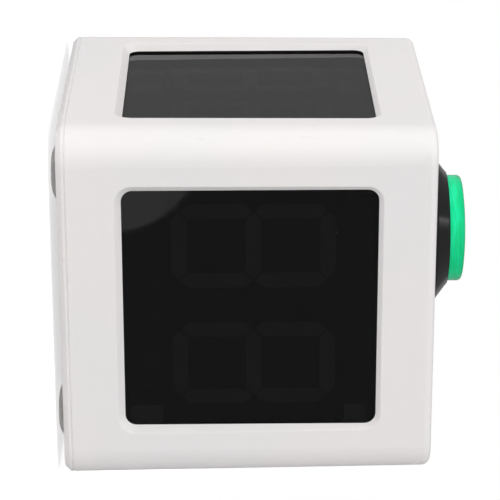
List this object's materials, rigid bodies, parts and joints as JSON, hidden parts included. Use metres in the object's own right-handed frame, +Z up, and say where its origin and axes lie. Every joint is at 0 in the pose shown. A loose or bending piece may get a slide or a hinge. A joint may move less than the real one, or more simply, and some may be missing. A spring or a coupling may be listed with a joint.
{
  "type": "gym round timer",
  "caption": "Cube-shaped round timer with a smoked display window on each side, a large push button on top, set keys, a screwed bottom cover and rubber feet.",
  "frame": {"origin": "middle of the square of feet, on the surface that the timer stands on", "axes": "+Z up, -Y to the front window, +X to the right"},
  "size_m": [0.1416, 0.1416, 0.1636],
  "materials": {
    "housing_shell": "fine satin moulding",
    "cover_shell": "fine satin moulding",
    "foot_rubber": "smooth white rubber",
    "smoked_pane": "polished smoked acrylic",
    "black_foam": "closed-cell foam",
    "digit_shell": "matt black",
    "digit_bar": "milky resin, unlit",
    "circuit_board": "solder mask",
    "screw_steel": "zinc plated",
    "bezel_black": "polished",
    "cap_green": "translucent, polished",
    "plunger_white": "moulded",
    "spring_steel": "drawn wire",
    "nut_black": "moulded",
    "seal_rubber": "soft rubber",
    "lamp_clear": "clear resin",
    "switch_black": "moulded",
    "pin_red": "moulded",
    "contact_brass": "plated",
    "key_grey": "soft satin",
    "part_dark": "moulded packages",
    "cell_sleeve": "shrink sleeve over a metal can",
    "tray_black": "moulded",
    "rocker_black": "moulded",
    "cable_jacket": "soft jacket"
  },
  "bodies": {
    "case": {"battery_cells": "cell_sleeve", "battery_clamp": "tray_black", "battery_contacts": "contact_brass", "battery_tray": "tray_black", "board_parts": "part_dark", "board_screws": "screw_steel", "bottom_cover": "cover_shell", "button_bezel": "bezel_black", "button_gasket": "seal_rubber", "button_lamp": "lamp_clear", "button_nut": "nut_black", "button_spring": "spring_steel", "buzzer": "part_dark", "cover_screws": "screw_steel", "digit_bars_front": "digit_bar", "digit_bars_left": "digit_bar", "digit_bars_rear": "digit_bar", "digit_bars_right": "digit_bar", "digit_shells_front": "digit_shell", "digit_shells_left": "digit_shell", "digit_shells_rear": "digit_shell", "digit_shells_right": "digit_shell", "display_board_front": "circuit_board", "display_board_left": "circuit_board", "display_board_rear": "circuit_board", "display_board_right": "circuit_board", "display_cables": "cable_jacket", "display_screws": "screw_steel", "foot_front_left": "foot_rubber", "foot_front_right": "foot_rubber", "foot_rear_left": "foot_rubber", "foot_rear_right": "foot_rubber", "housing": "housing_shell", "inlet_nut": "contact_brass", "inlet_pin": "contact_brass", "inlet_socket": "bezel_black", "key_board": "circuit_board", "key_switches": "part_dark", "lamp_holder": "plunger_white", "main_board": "circuit_board", "microswitch": "switch_black", "power_cables": "cable_jacket", "rocker_housing": "rocker_black", "switch_holder": "switch_black", "switch_terminals": "contact_brass", "window_front": "smoked_pane", "window_gasket_front": "black_foam", "window_gasket_left": "black_foam", "window_gasket_rear": "black_foam", "window_gasket_right": "black_foam", "window_left": "smoked_pane", "window_rear": "smoked_pane", "window_right": "smoked_pane"},
    "button": {"button_cap": "cap_green", "button_plunger": "plunger_white"},
    "switch_pin": {"switch_plunger": "pin_red"},
    "rocker": {"rocker": "rocker_black"},
    "key_left": {"set_key_left": "key_grey"},
    "key_middle": {"set_key_middle": "key_grey"},
    "key_right": {"set_key_right": "key_grey"}
  },
  "joints": [
    {"name": "button_press", "type": "slide", "parent": "case", "child": "button", "axis": [0, 0, 1], "range_m": [-0.004, 0], "stiffness_N_per_m": 300, "springref_m": 0.004, "deforming": ["button_spring"]},
    {"name": "switch_press", "type": "slide", "parent": "case", "child": "switch_pin", "axis": [0, 0, 1], "range_m": [-0.0012, 0]},
    {"name": "rocker_tilt", "type": "hinge", "parent": "case", "child": "rocker", "pos_m": [-0.0267, 0.0369, 0.0057], "axis": [0, 1, 0], "range_deg": [0, 24]},
    {"name": "set_key_left_press", "type": "slide", "parent": "case", "child": "key_left", "axis": [0, 0, 1], "range_m": [-0.0008, 0], "stiffness_N_per_m": 500, "springref_m": 0.001},
    {"name": "set_key_middle_press", "type": "slide", "parent": "case", "child": "key_middle", "axis": [0, 0, 1], "range_m": [-0.0008, 0], "stiffness_N_per_m": 500, "springref_m": 0.001},
    {"name": "set_key_right_press", "type": "slide", "parent": "case", "child": "key_right", "axis": [0, 0, 1], "range_m": [-0.0008, 0], "stiffness_N_per_m": 500, "springref_m": 0.001}
  ],
  "couplings": [
    {"joint": "switch_press", "follows": "button_press", "ratio": 0.3}
  ]
}
